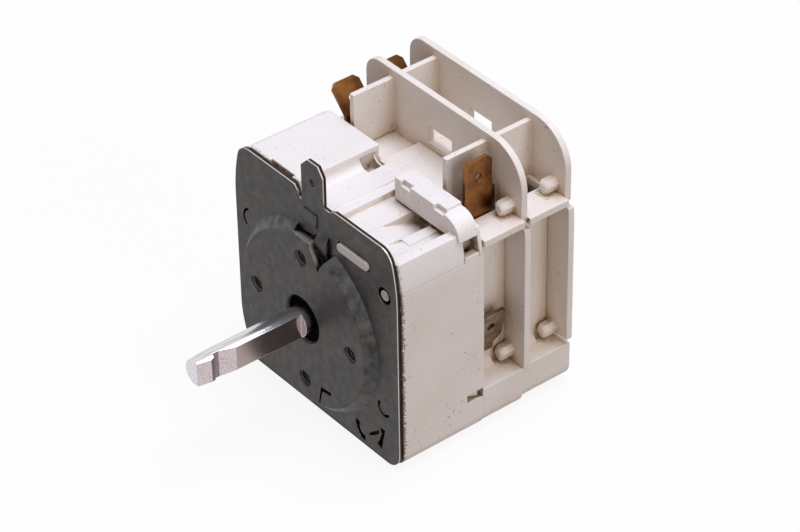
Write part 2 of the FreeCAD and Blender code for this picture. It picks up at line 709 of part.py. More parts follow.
def arm_box(x0, x1, y_mid, z0, z1):
    return box(x0, x1, y_mid - 2.0, y_mid + 2.0, z0, z1)


half = blade_sheet / 2
riser_x = 16.0
upper_right = spade(right_blade_x, blade_mid_front, switch_shelf + 0.2, blade_top)
upper_right = upper_right.fuse(arm_box(right_blade_x - half, right_blade_x + half, front_mid, upper_arm_low,
    switch_shelf + 0.3))
upper_right = upper_right.fuse(arm_box(contact_x - 1.7, right_blade_x + half, front_mid, upper_arm_low,
    upper_arm_low + blade_sheet))
side_lug = box(right_blade_x - half - 0.9, right_blade_x - half + 0.01, blade_mid_front + 2.4,
    blade_mid_front + 3.1, switch_shelf + 0.2, 26.4)
side_lug = side_lug.fuse(box(right_blade_x - half - 0.9, right_blade_x - half - 0.1, blade_mid_front + 2.4,
    blade_mid_front + 4.6, switch_shelf + 0.2, 26.4))
save("front_right_upper_terminal", upper_right.fuse(side_lug))

# Lower terminals come out through a slot in the block's side and lean outward to their tips.
lower_lean = 12.8
lower_length = 9.82
exit_z = -7.8
exit_half = 1.6
lower_mid_front = 26.45
lower_mid_rear = lower_mid_front + switch_pitch


def leaning_tab(x_root, y_mid, side):
    # A spade on a narrow neck, drawn upright and then leaned to one side.
    c = 0.5
    outline = [
        (y_mid - exit_half, 0), (y_mid - exit_half, 1.6), (y_mid - blade_half, 2.9), (y_mid - blade_half,
            lower_length - c),
        (y_mid - blade_half + c, lower_length), (y_mid + blade_half - c, lower_length), (y_mid + blade_half,
            lower_length - c),
        (y_mid + blade_half, 2.9), (y_mid + exit_half, 1.6), (y_mid + exit_half, 0),
    ]
    tab = prism_x(outline, -half, half).fuse(rod(0, 0, y_mid - exit_half, y_mid + exit_half, half))
    tab = tab.cut(Part.makeCylinder(0.85, 4, vec(-2, y_mid, lower_length - 3.4), vec(1, 0, 0)))
    tab.rotate(vec(0, 0, 0), vec(0, 1, 0), side * lower_lean)
    tab.translate(vec(x_root, 0, exit_z))
    return tab


def exit_strip(x0, x1, y_mid, z_mid):
    return box(x0, x1, y_mid - exit_half, y_mid + exit_half, z_mid - half, z_mid + half)


right_exit_x = waist_x + half + 0.1
lower_right = leaning_tab(right_exit_x, lower_mid_front, 1).fuse([
    exit_strip(riser_x - half, right_exit_x, lower_mid_front, exit_z),
    arm_box(riser_x - half, riser_x + half, front_mid, exit_z - half, lower_arm_top),
    arm_box(contact_x - 1.7, riser_x + half, front_mid, lower_arm_top - blade_sheet, lower_arm_top)])
save("front_right_lower_terminal", lower_right)

waist_left = plate_left + 4.95
chamber_left = waist_left + 1.2
left_exit_x = waist_left - half - 0.1
left_riser_x = chamber_left + 0.6
rear_lower = leaning_tab(left_exit_x, lower_mid_rear, -1).fuse([
    exit_strip(left_exit_x, left_riser_x + half, lower_mid_rear, exit_z),
    exit_strip(left_riser_x, riser_x + half, lower_mid_rear, foot_low + half),
    box(left_riser_x - half, left_riser_x + half, lower_mid_rear - exit_half, lower_mid_rear + exit_half,
        foot_low, exit_z + half),
    arm_box(riser_x - half, riser_x + half, rear_mid, foot_low, upper_arm_low + blade_sheet),
    arm_box(contact_x - 1.7, riser_x + half, rear_mid, upper_arm_low, upper_arm_low + blade_sheet)])
save("rear_left_lower_terminal", rear_lower)

save("front_left_terminal", left_terminal(front_mid, blade_mid_front))
save("rear_left_terminal", left_terminal(rear_mid, blade_mid_rear))
save("front_contact_leaf", leaf(front_mid))
save("rear_contact_leaf", leaf(rear_mid))
save("front_leaf_contact", leaf_contact(front_mid))
save("rear_leaf_contact", leaf_contact(rear_mid))
save("front_upper_contact", fixed_contact(front_mid, contact_high + 0.05, upper_arm_low))
save("rear_upper_contact", fixed_contact(rear_mid, contact_high + 0.05, upper_arm_low))
save("front_lower_contact", fixed_contact(front_mid, lower_arm_top, lower_arm_top + 0.45))


# Motor leads: flat strips from the can through the back wall into the front switch chamber.
lead = box(-14.9 + 0.1, -12.9 - 0.1, cavity_back - 0.9, 24.9, 12.4, 12.8)
save("motor_lead_left", lead.cut(motor_can))
lead = box(0.2, 16.9, cavity_back - 0.4, cavity_back, 11.6, 12.6)
lead = lead.fuse([box(16.5, 16.9, cavity_back - 0.4, 26.0, 11.6, 12.6), box(16.5, 16.9, 24.6, 26.0, 8.6,
    12.6)])
save("motor_lead_right", lead.cut(motor_can))


# Switch bodies. Each is a block with a chamber open to the back, on a base that follows the case outline.
chamber_right = waist_x - 0.7
chamber_top = switch_shelf - 1.6


def deck_outline(y0, y1, low):
    # The tall fin: upright sides, rounded top corners, and wider below the notch.
    upper = box(fin_left, fin_right, y0, y1, 0, fin_top)
    for x, turn, r in ((fin_left, 1, fin_left_r), (fin_right, -1, fin_right_r)):
        cx = x + turn * r
        cz = fin_top - r
        corner = box(min(x, cx), max(x, cx), y0, y1, cz, fin_top).cut(rod(cx, cz, y0, y1, r))
        upper = upper.cut(corner)
    lower = case_prism(0.15, y0, y1).common(box(-40, 40, y0, y1, -40, split_height + 0.5))
    notch = box(fin_right - 1.6, 40, y0, y1, split_height + 0.5, split_height + 1.6)
    fin = upper.cut(notch).fuse(lower)
    return fin.common(box(-40, 40, y0, y1, low, 60))


def switch_block(y0, y1, base_back, base_inset):
    block = box(waist_left, waist_x, y0, y1, base_top - 1, switch_shelf)
    crown = box(-4.1, rib_right_x - rib_thick / 2 - 0.2, y0, y1, switch_shelf - 1, switch_roof)
    shelf_right = box(waist_x - 1, outline_right - 0.2, y0, y1, switch_shelf - shelf_thick, switch_shelf)
    shelf_left = box(plate_left + 0.2, waist_left + 1, y0, y1, switch_shelf - shelf_thick, switch_shelf)
    base = case_prism(base_inset, y0, base_back).common(box(-40, 40, y0, base_back, -40, base_top))
    cove_size = 2.6
    coves = []
    for x, turn in ((waist_x, 1), (waist_left, -1)):
        x0 = min(x, x + turn * cove_size)
        cove = box(x0, x0 + cove_size, y0, y1, base_top - 0.1, base_top + cove_size)
        coves.append(cove.cut(rod(x + turn * cove_size, base_top + cove_size, y0, y1, cove_size)))
    return block.fuse([crown, shelf_right, shelf_left, base] + coves)


def chamber(y0, y1, base_back, y_mid):
    room = box(chamber_left, chamber_right, y0, y1, base_top, chamber_top)
    ledge_left = box(chamber_left - 1, left_blade_x + half, y0, y1, leaf_low - blade_sheet - 2.0,
        leaf_low - blade_sheet)
    ledge_right = box(riser_x + half + 0.7, chamber_right + 1, y0, y1, upper_arm_low - 2.0, upper_arm_low)
    cellar = box(-11.0, outline_right - 2.2, y0, base_back + 1, plate_bottom + 1.8, base_top - 1.6)
    return room.cut(ledge_left).cut(ledge_right).fuse(cellar)


def blade_slots(y_mid, blade_mid):
    # Ways through the roof for the stems of the upper terminals.
    left = box(left_blade_x - half - fit / 2, left_blade_x + half + fit / 2, blade_mid - blade_half - fit,
        blade_mid + blade_half + fit, chamber_top - 1, 40)
    right = box(rib_right_x + rib_thick / 2 + 0.2, chamber_right, y_mid - 3.6, y_mid + 3.6, chamber_top - 1,
        40)
    return left, right


def peg(x, z, y_root, side):
    # A snap peg: a faceted shank with a tapered end and a nose pointing down, mirrored on the left.
    reach = 2.3
    shape = [(-1.2, -0.5), (-1.0, 1.2), (0.7, 1.5), (1.5, 0.5), (1.2, -0.8), (0.3, -1.9), (-0.5, -1.0)]
    root = [vec(x + side * px, y_root, z + pz) for px, pz in shape]
    shoulder = [vec(x + side * px, y_root - reach, z + pz) for px, pz in shape]
    end = [vec(x + side * 0.65 * px, y_root - reach - 0.7, z + 0.65 * pz) for px, pz in shape]
    wires = [Part.makePolygon(ring + ring[:1]) for ring in (root, shoulder, end)]
    return Part.makeLoft(wires[:2], True, True).fuse(Part.makeLoft(wires[1:], True, True))


def ribs(y0, y1):
    out = []
    for x in (rib_left_x, rib_right_x):
        out.append(box(x - rib_thick / 2, x + rib_thick / 2, y0, y1, switch_shelf + 0.1, rib_top))
    return out


peg_right_x = 21.6
peg_left_x = plate_left + (outline_right - peg_right_x)
peg_upper_z = 23.5
peg_lower_z = -9.6


peg_places = [
    (peg_left_x, peg_upper_z, -1), (peg_right_x, peg_upper_z, 1),
    (waist_left - 1.5, peg_lower_z, -1), (waist_x + 1.5, peg_lower_z, 1),
]


def pegs(y_root):
    return [peg(x, z, y_root, side) for x, z, side in peg_places]


def peg_notches(y_root):
    # Room for each peg in the shelf or the cove that it reaches over.
    out = []
    for x, z, side in peg_places:
        x0, x1 = sorted((x - side * 1.4, x + side * 1.7))
        high = z + 1.8 if z < 0 else 40
        out.append(box(x0, x1, y_root - 3.4, y_root, z - 2.2, high))
    return out


def finish_body(body, y0, y1, base_back, y_mid, blade_mid, pin_from):
    body = body.cut(chamber(y0 + wall, y1, base_back - wall, y_mid))
    left_slot, right_slot = blade_slots(y_mid, blade_mid)
    for way in [left_slot, right_slot] + peg_notches(y1):
        body = body.cut(way.common(box(-40, 40, y0 + 0.9, y1, -40, 60)))
    body = body.cut(rod(0, 0, y0 - 2, y0 + wall + 0.1, bearing_r + 0.25))
    return body.cut(rod(lever_pivot_x, lever_pivot_z, pin_from, y1 + 1, axle_r))


front_body = switch_block(case_back, front_deck, front_deck, 0.35)
front_body = finish_body(front_body, case_back, front_deck, front_deck + wall, front_mid, blade_mid_front,
    front_wall_back - 1.0)
exit_clear = 0.12


def exit_slot(x0, x1, y_mid):
    reach = exit_half + exit_clear
    return box(x0, x1, y_mid - reach, y_mid + reach, exit_z - half - exit_clear,
        exit_z + half + 4 * exit_clear)


front_body = front_body.cut(exit_slot(chamber_right - 0.1, waist_x + 0.1, lower_mid_front))
for slot in lead_slots:
    front_body = front_body.cut(slot)

# Snap arms that reach forward into the case's windows.
arm_gap = 0.2
inner_right = outline_right - case_inset - wall
inner_left = plate_left + case_inset + wall


def snap_arm(side, z0, z1, hook_y0, hook_y1):
    x_in = inner_right if side > 0 else inner_left
    x0, x1 = sorted((x_in - side * arm_gap, x_in - side * 1.5))
    arm = box(x0, x1, hook_y0, case_back + 0.5, z0, z1)
    tip = x_in + side * 1.0
    hook = [(x_in - side * 0.6, hook_y0), (x_in, hook_y0), (tip, hook_y1), (x_in - side * 0.6, hook_y1)]
    corners = [vec(x, y, z0) for x, y in hook]
    return arm.fuse(Part.Face(Part.makePolygon(corners + corners[:1])).extrude(vec(0, 0, z1 - z0)))


arm_ways = []
for side in (-1, 1):
    front_body = front_body.fuse(snap_arm(side, catch_low + 0.5, catch_high - 0.5, catch_front + 0.4,
        catch_back - 0.8))
    way_x = sorted((inner_right - 1.8, inner_right + 0.02)) if side > 0 else (inner_left - 0.02,
        inner_left + 1.8)
    arm_ways.append(box(way_x[0], way_x[1], cavity_back - 0.1, case_back + 0.1, catch_low + 0.3,
        catch_high - 0.3))
for way in arm_ways:
    case = case.cut(way)
save("gear_case", case.removeSplitter())
save("front_switch_body", front_body.removeSplitter())

rear_body = switch_block(front_deck_back - 0.2, rear_deck, rear_deck_back, 0.7)
rear_body = rear_body.fuse(case_prism(0.7, front_deck, rear_deck).common(box(-40, 40, front_deck, rear_deck,
    -40, base_top)))
rear_body = rear_body.fuse([deck_outline(front_deck, front_deck_back, base_top)] + ribs(case_back + 0.1,
    front_deck + 0.1) + pegs(front_deck + 0.1))
rear_body = finish_body(rear_body, front_deck_back - wall, rear_deck, rear_deck_back, rear_mid,
    blade_mid_rear, front_deck_back - 0.7)
rear_body = rear_body.cut(box(-1.6, 5.1, front_deck - 0.5, front_deck_back + 0.5, 24.9, 28.4))
rear_body = rear_body.cut(rod(lever_pivot_x, lever_pivot_z, front_deck - 0.1, front_deck + 0.75, axle_r))
rear_body = rear_body.cut(exit_slot(waist_left - 0.1, chamber_left + 0.1, lower_mid_rear))
save("rear_switch_body", rear_body.removeSplitter())

# Back cover: the rear fin with its own ribs, pegs and the rear bearing.
cover_low = base_top + 1.4
back_cover = deck_outline(rear_deck, rear_deck_back, cover_low)
back_cover = back_cover.fuse(ribs(front_deck_back + 0.1, rear_deck + 0.1) + pegs(rear_deck + 0.1))
back_cover = back_cover.fuse(rod(0, 0, rear_deck - 1.4, rear_deck_back, bearing_boss_r))
back_cover = back_cover.cut(rod(0, 0, 0, shaft_end + 0.1, bearing_r))
back_cover = back_cover.cut(box(-2.4, 4.0, rear_deck - 0.5, rear_deck_back + 0.5, 23.6, 27.5))
back_cover = back_cover.cut(rod(lever_pivot_x, lever_pivot_z, rear_deck - 0.1, rear_deck + 0.75, axle_r))
save("back_cover", back_cover.removeSplitter())
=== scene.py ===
# %% [markdown]
# A washing machine timer: a pressed steel mounting plate with a flatted shaft, a cream gear
# case behind it, and two cam switches stacked behind that with brass spade terminals.
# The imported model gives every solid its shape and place, so this file adds the looks:
# rounded moulded edges, pressed metal, dirt in the joints, light and camera.

import json
import math

import bmesh
import bpy
from mathutils import Matrix, Vector


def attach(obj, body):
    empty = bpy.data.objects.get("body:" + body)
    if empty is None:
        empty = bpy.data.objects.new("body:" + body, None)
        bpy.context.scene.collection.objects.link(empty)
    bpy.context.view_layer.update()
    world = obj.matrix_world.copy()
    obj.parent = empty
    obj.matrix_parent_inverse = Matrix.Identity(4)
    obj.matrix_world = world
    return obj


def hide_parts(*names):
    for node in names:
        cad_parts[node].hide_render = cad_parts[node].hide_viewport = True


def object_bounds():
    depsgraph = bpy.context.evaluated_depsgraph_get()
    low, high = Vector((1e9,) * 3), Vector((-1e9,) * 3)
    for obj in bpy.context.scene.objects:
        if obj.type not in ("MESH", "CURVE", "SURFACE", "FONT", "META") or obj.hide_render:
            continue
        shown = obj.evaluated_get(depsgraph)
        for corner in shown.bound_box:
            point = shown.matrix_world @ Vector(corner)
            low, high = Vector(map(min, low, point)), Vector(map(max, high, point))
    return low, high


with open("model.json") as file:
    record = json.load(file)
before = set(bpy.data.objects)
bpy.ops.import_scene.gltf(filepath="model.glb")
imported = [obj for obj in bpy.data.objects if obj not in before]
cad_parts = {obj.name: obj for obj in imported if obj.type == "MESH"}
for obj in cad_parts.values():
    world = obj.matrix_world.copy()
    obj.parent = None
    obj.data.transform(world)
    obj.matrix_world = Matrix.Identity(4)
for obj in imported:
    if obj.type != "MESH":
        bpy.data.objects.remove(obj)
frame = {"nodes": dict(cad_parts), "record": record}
cad_low, cad_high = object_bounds()
cad_low, cad_high = cad_low.copy(), cad_high.copy()
MM = 0.001
print("frame:", len(frame["nodes"]), "nodes,", [round(v / MM, 1) for v in cad_high - cad_low], "mm")

# %% [markdown]
# The photograph was taken from close to the right front, well above, with a long lens.
# A camera could be aimed by eye, but a part with drilled holes gives better: the angles here
# were fitted to the four screw holes and the straight edges, so the picture lines up with it.

# %% Camera at the photograph's viewing angle
CAMERA_AZIMUTH = math.radians(51.578)
CAMERA_ELEVATION = math.radians(36.928)
CAMERA_ROLL = math.radians(-0.975)
CAMERA_DISTANCE = 614.356 * MM
CAMERA_ASIDE = -16.419 * MM
CAMERA_ABOVE = -9.061 * MM
LENS_MM = 149.71
FILM_WIDTH_MM = 36.0
NEAREST_SEEN, FARTHEST_SEEN = 0.05, 20.0
SHEET_FRONT = 2.0 * MM

across = Vector((math.cos(CAMERA_AZIMUTH), math.sin(CAMERA_AZIMUTH), 0))
back = Vector((
    math.sin(CAMERA_AZIMUTH) * math.cos(CAMERA_ELEVATION),
    -math.cos(CAMERA_AZIMUTH) * math.cos(CAMERA_ELEVATION),
    math.sin(CAMERA_ELEVATION),
))
upward = back.cross(across)
rolled_across = math.cos(CAMERA_ROLL) * across + math.sin(CAMERA_ROLL) * upward
rolled_up = math.cos(CAMERA_ROLL) * upward - math.sin(CAMERA_ROLL) * across
place = CAMERA_DISTANCE * back - CAMERA_ASIDE * rolled_across - CAMERA_ABOVE * rolled_up
# The fit counted Y from the sheet's front, and the frame counts it from the disc's.
place.y += SHEET_FRONT

camera = bpy.data.objects.new("camera", bpy.data.cameras.new("camera"))
camera.data.lens = LENS_MM
camera.data.sensor_width = FILM_WIDTH_MM
camera.data.clip_start = NEAREST_SEEN
camera.data.clip_end = FARTHEST_SEEN
aim = Matrix((rolled_across, rolled_up, back)).transposed().to_4x4()
camera.matrix_world = Matrix.Translation(place) @ aim
bpy.context.scene.collection.objects.link(camera)
bpy.context.scene.camera = camera
print("camera at", [round(v, 4) for v in place])

# %% [markdown]
# Every finish below is built from small shader nodes. Colours are written as sRGB hex
# values, and one function turns them to the linear light that shaders use.

# %% Colour and node helpers
def linear(hex_colour):
    parts = [int(hex_colour[i:i + 2], 16) / 255 for i in (1, 3, 5)]
    return [v / 12.92 if v <= 0.04045 else ((v + 0.055) / 1.055) ** 2.4 for v in parts] + [1.0]


def add(tree, kind, inputs, **settings):
    # Adds one node. An input is a value, a socket, or a node whose first enabled output is used.
    node = tree.nodes.new(kind)
    for key, value in settings.items():
        setattr(node, key, value)
    for key, value in inputs.items():
        if isinstance(value, bpy.types.Node):
            value = next(socket for socket in value.outputs if socket.enabled)
        if isinstance(value, bpy.types.NodeSocket):
            tree.links.new(value, node.inputs[key])
        else:
            node.inputs[key].default_value = value
    return node


def per_mm(size):
    # Noise scale that gives blobs of about this many millimetres, as coordinates are in metres.
    return 1 / (size * MM)


def start_material(name):
    material = bpy.data.materials.new(name)
    material.use_nodes = True
    material.node_tree.nodes.clear()
    return material, material.node_tree


def end_material(tree, colour, roughness, height, depth_mm, strength, **shader_values):
    # The same last three nodes for every finish: relief, surface and output.
    relief = add(tree, "ShaderNodeBump", {
        "Height": height, "Strength": strength, "Distance": depth_mm * MM})
    surface = add(tree, "ShaderNodeBsdfPrincipled", {
        "Base Color": colour, "Roughness": roughness, "Normal": relief})
    for key, value in shader_values.items():
        surface.inputs[key.replace("_", " ")].default_value = value
    add(tree, "ShaderNodeOutputMaterial", {"Surface": surface})


# The sockets of a colour mix share their names, so they go by number.
AMOUNT, FIRST, SECOND = 0, 6, 7
finishes = {}
print("grey #808080 is", round(linear("#808080")[0], 3), "in linear light")

# %% [markdown]
# The cases are PBT, an injection moulded polyester. It has a satin spark eroded skin, it
# yellows a little, and brown dust packs into its corners. Its recesses are also painted darker
# and browner, a painted shade. Ambient occlusion finds corners by itself, which is why it is
# used here in place of a painted texture: it follows any shape. The colour is built in three
# layers, from the resin outward, and each has its own function.

# %% First layer of PBT: age, painted recess shade and scuffs
def aged_pbt_with_painted_shade(tree, place, corner, base, shade, recess_shade, scuff_share):
    # Flow and ageing clouds, about 14 mm across, keep large faces from looking flat.
    cloud = add(tree, "ShaderNodeTexNoise", {"Vector": place, "Scale": per_mm(14.0), "Detail": 3.0})
    cloud = add(tree, "ShaderNodeMapRange", {
        "Value": cloud, "From Min": 0.35, "From Max": 0.7, "To Max": 0.6})
    colour = add(tree, "ShaderNodeMix", {
        AMOUNT: cloud, FIRST: linear(base), SECOND: linear(shade)}, data_type="RGBA")
    # Painted shade: within 5 mm of other surfaces the recesses are painted darker and browner,
    # standing in for the light that reaches them less.
    painted_recess_shade = add(tree, "ShaderNodeMapRange", {
        "Value": corner, "From Min": 0.85, "From Max": 0.3, "To Max": 0.6})
    colour = add(tree, "ShaderNodeMix", {
        AMOUNT: painted_recess_shade, FIRST: colour, SECOND: linear(recess_shade)}, data_type="RGBA")
    # Scuffs from fitting, bare and whiter: the peaks of a 0.5 mm pattern, drawn ten times as long.
    along = add(tree, "ShaderNodeMapping", {
        "Vector": place, "Rotation": (0.4, 0.9, 0.3), "Scale": (1.0, 1.0, 0.1)})
    scuff = add(tree, "ShaderNodeTexNoise", {"Vector": along, "Scale": per_mm(0.5), "Detail": 1.0})
    scuff = add(tree, "ShaderNodeMapRange", {
        "Value": scuff, "From Min": 0.7, "From Max": 0.75, "To Max": scuff_share})
    return add(tree, "ShaderNodeMix", {
        AMOUNT: scuff, FIRST: colour, SECOND: linear("#f1ece8")}, data_type="RGBA")


# %% Second layer of PBT: dust and grime
def dusty_pbt(tree, place, corner, colour, speck_share, grime_share):
    # Dust specks, about 0.45 mm, a little larger than the real ones so that they show. They
    # gather in patches, so a second, wider pattern says where.
    speck = add(tree, "ShaderNodeTexNoise", {"Vector": place, "Scale": per_mm(0.45), "Detail": 1.0})
    speck = add(tree, "ShaderNodeMapRange", {
        "Value": speck, "From Min": 0.69, "From Max": 0.74, "To Max": speck_share})
    patch = add(tree, "ShaderNodeTexNoise", {"Vector": place, "Scale": per_mm(6.0), "Detail": 2.0})
    patch = add(tree, "ShaderNodeMapRange", {"Value": patch, "From Min": 0.45, "From Max": 0.6})
    speck = add(tree, "ShaderNodeMath", {0: speck, 1: patch}, operation="MULTIPLY")
    colour = add(tree, "ShaderNodeMix", {
        AMOUNT: speck, FIRST: colour, SECOND: linear("#5e4a3c")}, data_type="RGBA")
    # Grime settles in the tightest corners, broken up so that it isn't an even line.
    ragged = add(tree, "ShaderNodeTexNoise", {"Vector": place, "Scale": per_mm(1.2), "Detail": 4.0})
    ragged = add(tree, "ShaderNodeMapRange", {"Value": ragged, "From Min": 0.3, "From Max": 0.6})
    grime = add(tree, "ShaderNodeMapRange", {
        "Value": corner, "From Min": 0.55, "From Max": 0.25, "To Max": grime_share})
    grime = add(tree, "ShaderNodeMath", {0: grime, 1: ragged}, operation="MULTIPLY")
    return add(tree, "ShaderNodeMix", {
        AMOUNT: grime, FIRST: colour, SECOND: linear("#7c5f42")}, data_type="RGBA")


# %% Third layer of PBT: dirt from behind the sheet
SHEET_BACK = 2.9 * MM


def seam_dirt(tree, place, colour, seam_share):
    # Oily dirt creeps out from behind the sheet's edge and fades over about 1 mm. It breaks
    # up into spots, so fine noise has to beat a threshold that rises with the distance.
    depth = add(tree, "ShaderNodeSeparateXYZ", {"Vector": place}).outputs["Y"]
    far = add(tree, "ShaderNodeMapRange", {
        "Value": depth, "From Min": SHEET_BACK, "From Max": SHEET_BACK + 1.0 * MM,
        "To Min": 0.36, "To Max": 0.72})
    spot = add(tree, "ShaderNodeTexNoise", {"Vector": place, "Scale": per_mm(0.4), "Detail": 3.0})
    spot = add(tree, "ShaderNodeMath", {0: spot, 1: far}, operation="SUBTRACT")
    spot = add(tree, "ShaderNodeMapRange", {
        "Value": spot, "From Min": 0.0, "From Max": 0.06, "To Max": seam_share})
    # The lug that comes through the sheet stays clean, so nothing in front of its back is dirty.
    behind = add(tree, "ShaderNodeMapRange", {
        "Value": depth, "From Min": SHEET_BACK - 0.2 * MM, "From Max": SHEET_BACK - 0.1 * MM})
    spot = add(tree, "ShaderNodeMath", {0: spot, 1: behind}, operation="MULTIPLY")
    return add(tree, "ShaderNodeMix", {
        AMOUNT: spot, FIRST: colour, SECOND: linear("#4a3426")}, data_type="RGBA")


# %% Moulded PBT for the three kinds of case
CORNER_REACH = 5.0 * MM


def moulded_pbt(name, base, shade, recess_shade, speck_share, grime_share, scuff_share, seam_share):
    material, tree = start_material(name)
    place = add(tree, "ShaderNodeTexCoord", {}).outputs["Object"]
    corner = add(tree, "ShaderNodeAmbientOcclusion", {"Distance": CORNER_REACH}, samples=8).outputs["AO"]
    colour = aged_pbt_with_painted_shade(tree, place, corner, base, shade, recess_shade, scuff_share)
    colour = dusty_pbt(tree, place, corner, colour, speck_share, grime_share)
    colour = seam_dirt(tree, place, colour, seam_share)
    # Handling polishes the skin in patches of about 3 mm.
    polish = add(tree, "ShaderNodeTexNoise", {"Vector": place, "Scale": per_mm(3.0), "Detail": 3.0})
    polish = add(tree, "ShaderNodeMapRange", {"Value": polish, "To Min": 0.4, "To Max": 0.56})
    # Spark eroded skin, 0.25 mm grain.
    grain = add(tree, "ShaderNodeTexNoise", {"Vector": place, "Scale": per_mm(0.25), "Detail": 2.0})
    end_material(tree, colour, polish, grain, 0.03, 0.06, IOR=1.55, Subsurface_Weight=0.05,
                 Subsurface_Radius=(0.9, 0.7, 0.5), Subsurface_Scale=1.0 * MM)
    return material


# The recess colour in each row is a painted shade for the recesses, not the plastic's own.
for slot, values in {
    "case_plastic": dict(
        name="moulded_pbt_gear_case", base="#f2eae6", shade="#e8dcd5", recess_shade="#d8c0a4",
        speck_share=0.7, grime_share=0.9, scuff_share=0.0, seam_share=0.85),
    "cover_plastic": dict(
        name="moulded_pbt_top_cover", base="#f3efee", shade="#e9e3df", recess_shade="#dac4a8",
        speck_share=0.5, grime_share=0.9, scuff_share=0.0, seam_share=0.4),
    "switch_plastic": dict(
        name="moulded_pbt_switch_bodies", base="#f1ebe7", shade="#e4d9cc", recess_shade="#d3b285",
        speck_share=0.7, grime_share=0.6, scuff_share=0.6, seam_share=0.0),
}.items():
    finishes[slot] = moulded_pbt(**values)
print("moulded finishes:", ", ".join(finishes))

# %% [markdown]
# The plate is zinc plated steel with a dark passivation. Its face is dull and blotchy, with a
# brown bloom where the plating has gone, and the sheared edge shows brighter metal, because
# the press cut through the plating. The edge's bright front strip is also a painted highlight
# and its rusty back a painted shade, the holes are painted nearly black inside, a painted
# shade, and the disc's shoulder is painted lighter towards the top, a painted highlight.
# Faces of the sheet point along Y, so the direction of the surface tells the sheared edge from
# the face.

# %% Face of the sheet: blotches, bloom and painted highlight on the slopes
def dull_sheet_with_painted_highlight(tree, place, facing):
    blotch = add(tree, "ShaderNodeTexNoise", {"Vector": place, "Scale": per_mm(2.0), "Detail": 7.0})
    blotch = add(tree, "ShaderNodeMapRange", {"Value": blotch, "From Min": 0.36, "From Max": 0.66})
    colour = add(tree, "ShaderNodeMix", {
        AMOUNT: blotch, FIRST: linear("#393737"), SECOND: linear("#4b4847")}, data_type="RGBA")
    # Brown bloom in clouds of 5 mm, finely broken at 0.7 mm.
    cloud = add(tree, "ShaderNodeTexNoise", {"Vector": place, "Scale": per_mm(5.0), "Detail": 3.0})
    cloud = add(tree, "ShaderNodeMapRange", {"Value": cloud, "From Min": 0.48, "From Max": 0.66})
    fleck = add(tree, "ShaderNodeTexNoise", {"Vector": place, "Scale": per_mm(0.7), "Detail": 4.0})
    fleck = add(tree, "ShaderNodeMapRange", {
        "Value": fleck, "From Min": 0.45, "From Max": 0.62, "To Max": 0.7})
    bloom = add(tree, "ShaderNodeMath", {0: cloud, 1: fleck}, operation="MULTIPLY")
    colour = add(tree, "ShaderNodeMix", {
        AMOUNT: bloom, FIRST: colour, SECOND: linear("#5f4736")}, data_type="RGBA")
    # Painted highlight: the disc's sloping shoulder and its creases are painted a lighter grey,
    # in blotches, most at the top, where they face the sky.
    painted_shoulder_highlight = add(tree, "ShaderNodeMapRange", {"Value": facing, "From Min": 0.97, "From Max": 0.8})
    height = add(tree, "ShaderNodeSeparateXYZ", {"Vector": place}).outputs["Z"]
    highlight_towards_top = add(tree, "ShaderNodeMapRange", {
        "Value": height, "From Min": -14.0 * MM, "From Max": 18.0 * MM, "To Min": 0.1, "To Max": 0.75})
    painted_shoulder_highlight = add(tree, "ShaderNodeMath", {0: painted_shoulder_highlight, 1: highlight_towards_top}, operation="MULTIPLY")
    painted_shoulder_highlight = add(tree, "ShaderNodeMath", {0: painted_shoulder_highlight, 1: blotch}, operation="MULTIPLY")
    return add(tree, "ShaderNodeMix", {
        AMOUNT: painted_shoulder_highlight, FIRST: colour, SECOND: linear("#66686c")}, data_type="RGBA")


# %% Edge of the sheet: sheared metal with painted highlight and shade, painted shade in holes
def sheared_sheet_with_painted_light(tree, place, facing, corner, colour):
    # Bright where the punch cut clean, rusty behind, where the sheet tore. The bright front strip
    # is also a painted highlight, and the dark back a painted shade.
    cut = add(tree, "ShaderNodeMapRange", {"Value": facing, "From Min": 0.4, "From Max": 0.2})
    depth = add(tree, "ShaderNodeSeparateXYZ", {"Vector": place}).outputs["Y"]
    torn_and_shaded = add(tree, "ShaderNodeMapRange", {
        "Value": depth, "From Min": SHEET_FRONT + 0.22 * MM, "From Max": SHEET_FRONT + 0.32 * MM})
    edge = add(tree, "ShaderNodeMix", {
        AMOUNT: torn_and_shaded, FIRST: linear("#c9c2bc"), SECOND: linear("#2b201a")}, data_type="RGBA")
    # Holes and slots are cut too, but they get no bright edge: their walls, like every place with
    # other metal within 1.5 mm, are painted nearly black, a painted shade.
    open_air = add(tree, "ShaderNodeMapRange", {"Value": corner, "From Min": 0.62, "From Max": 0.88})
    cut = add(tree, "ShaderNodeMath", {0: cut, 1: open_air}, operation="MULTIPLY")
    colour = add(tree, "ShaderNodeMix", {
        AMOUNT: cut, FIRST: colour, SECOND: edge}, data_type="RGBA")
    painted_hole_shade = add(tree, "ShaderNodeMapRange", {
        "Value": corner, "From Min": 0.88, "From Max": 0.5, "To Max": 0.94})
    return add(tree, "ShaderNodeMix", {
        AMOUNT: painted_hole_shade, FIRST: colour, SECOND: linear("#0e0c0b")}, data_type="RGBA")


# %% Passivated steel sheet
HOLE_REACH = 1.5 * MM


